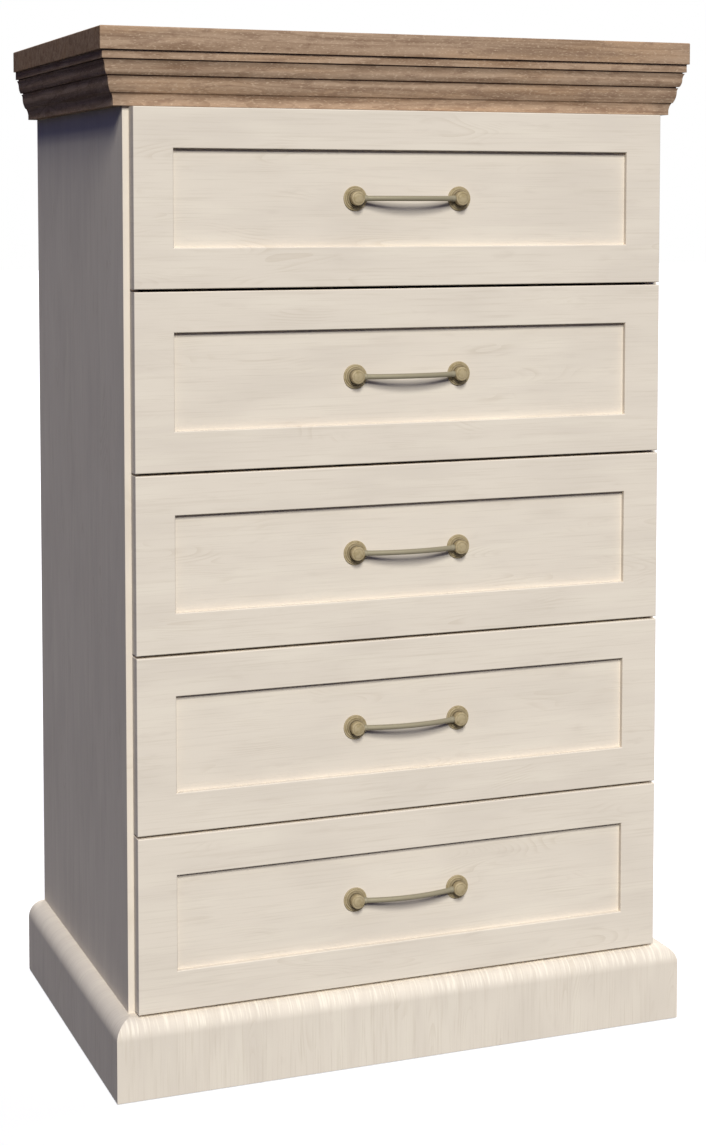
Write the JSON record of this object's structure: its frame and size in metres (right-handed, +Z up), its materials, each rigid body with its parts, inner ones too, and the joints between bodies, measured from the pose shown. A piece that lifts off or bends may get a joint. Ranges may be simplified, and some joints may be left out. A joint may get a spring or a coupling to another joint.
{
  "type": "tall chest of drawers",
  "caption": "Tall chest of drawers in washed white pine finish with a brown oak cornice top, moulded plinth, sunk-panel fronts, brass bow handles and full-extension runners.",
  "frame": {"origin": "on the floor, under the centre of the whole chest's box, handles included", "axes": "+Z up, +X to the right seen from the front, the drawer fronts face -Y"},
  "size_m": [0.72, 0.4508, 1.183],
  "materials": {
    "white_pine_laminate": "matt printed laminate with a washed white pine grain",
    "oak_laminate": "matt printed laminate with a brown oak grain",
    "drawer_box_laminate": "matt white foil on board",
    "white_hardboard": "white lacquered hardboard",
    "beech": "raw turned beech",
    "antique_brass": "aged brass plating, satin",
    "zinc_alloy": "die-cast zinc",
    "zinc_plated_steel": "bright zinc plating on rolled sheet",
    "screw_steel": "zinc plated",
    "glide_plastic": "moulded polyethylene"
  },
  "bodies": {
    "carcass": {"left_side_panel": "white_pine_laminate", "right_side_panel": "white_pine_laminate", "bottom_panel": "white_pine_laminate", "inner_top_panel": "white_pine_laminate", "top_front_rail": "white_pine_laminate", "back_base_rail": "white_pine_laminate", "back_panel": "white_hardboard", "plinth_backing_board": "white_pine_laminate", "top_board": "oak_laminate", "cornice_front": "oak_laminate", "cornice_left": "oak_laminate", "cornice_right": "oak_laminate", "plinth_front": "white_pine_laminate", "plinth_left": "white_pine_laminate", "plinth_right": "white_pine_laminate", "dowels": "beech", "cam_fittings": "zinc_alloy", "floor_glides": "glide_plastic", "cabinet_runners": "zinc_plated_steel", "cabinet_runner_screws": "screw_steel"},
    "drawer_1": {"drawer_1_front": "white_pine_laminate", "drawer_1_sides": "drawer_box_laminate", "drawer_1_back": "drawer_box_laminate", "drawer_1_bottom": "white_hardboard", "drawer_1_handle": "antique_brass", "drawer_1_runners": "zinc_plated_steel", "drawer_1_screws": "screw_steel"},
    "middle_runners_1": {"drawer_1_middle_runners": "zinc_plated_steel"},
    "drawer_2": {"drawer_2_front": "white_pine_laminate", "drawer_2_sides": "drawer_box_laminate", "drawer_2_back": "drawer_box_laminate", "drawer_2_bottom": "white_hardboard", "drawer_2_handle": "antique_brass", "drawer_2_runners": "zinc_plated_steel", "drawer_2_screws": "screw_steel"},
    "middle_runners_2": {"drawer_2_middle_runners": "zinc_plated_steel"},
    "drawer_3": {"drawer_3_front": "white_pine_laminate", "drawer_3_sides": "drawer_box_laminate", "drawer_3_back": "drawer_box_laminate", "drawer_3_bottom": "white_hardboard", "drawer_3_handle": "antique_brass", "drawer_3_runners": "zinc_plated_steel", "drawer_3_screws": "screw_steel"},
    "middle_runners_3": {"drawer_3_middle_runners": "zinc_plated_steel"},
    "drawer_4": {"drawer_4_front": "white_pine_laminate", "drawer_4_sides": "drawer_box_laminate", "drawer_4_back": "drawer_box_laminate", "drawer_4_bottom": "white_hardboard", "drawer_4_handle": "antique_brass", "drawer_4_runners": "zinc_plated_steel", "drawer_4_screws": "screw_steel"},
    "middle_runners_4": {"drawer_4_middle_runners": "zinc_plated_steel"},
    "drawer_5": {"drawer_5_front": "white_pine_laminate", "drawer_5_sides": "drawer_box_laminate", "drawer_5_back": "drawer_box_laminate", "drawer_5_bottom": "white_hardboard", "drawer_5_handle": "antique_brass", "drawer_5_runners": "zinc_plated_steel", "drawer_5_screws": "screw_steel"},
    "middle_runners_5": {"drawer_5_middle_runners": "zinc_plated_steel"}
  },
  "joints": [
    {"name": "drawer_1_slide", "type": "slide", "parent": "carcass", "child": "drawer_1", "axis": [0, -1, 0], "range_m": [0, 0.35]},
    {"name": "middle_runners_1_slide", "type": "slide", "parent": "carcass", "child": "middle_runners_1", "axis": [0, -1, 0], "range_m": [0, 0.175]},
    {"name": "drawer_2_slide", "type": "slide", "parent": "carcass", "child": "drawer_2", "axis": [0, -1, 0], "range_m": [0, 0.35]},
    {"name": "middle_runners_2_slide", "type": "slide", "parent": "carcass", "child": "middle_runners_2", "axis": [0, -1, 0], "range_m": [0, 0.175]},
    {"name": "drawer_3_slide", "type": "slide", "parent": "carcass", "child": "drawer_3", "axis": [0, -1, 0], "range_m": [0, 0.35]},
    {"name": "middle_runners_3_slide", "type": "slide", "parent": "carcass", "child": "middle_runners_3", "axis": [0, -1, 0], "range_m": [0, 0.175]},
    {"name": "drawer_4_slide", "type": "slide", "parent": "carcass", "child": "drawer_4", "axis": [0, -1, 0], "range_m": [0, 0.35]},
    {"name": "middle_runners_4_slide", "type": "slide", "parent": "carcass", "child": "middle_runners_4", "axis": [0, -1, 0], "range_m": [0, 0.175]},
    {"name": "drawer_5_slide", "type": "slide", "parent": "carcass", "child": "drawer_5", "axis": [0, -1, 0], "range_m": [0, 0.35]},
    {"name": "middle_runners_5_slide", "type": "slide", "parent": "carcass", "child": "middle_runners_5", "axis": [0, -1, 0], "range_m": [0, 0.175]}
  ],
  "couplings": [
    {"joint": "middle_runners_1_slide", "follows": "drawer_1_slide", "ratio": 0.5},
    {"joint": "middle_runners_2_slide", "follows": "drawer_2_slide", "ratio": 0.5},
    {"joint": "middle_runners_3_slide", "follows": "drawer_3_slide", "ratio": 0.5},
    {"joint": "middle_runners_4_slide", "follows": "drawer_4_slide", "ratio": 0.5},
    {"joint": "middle_runners_5_slide", "follows": "drawer_5_slide", "ratio": 0.5}
  ]
}
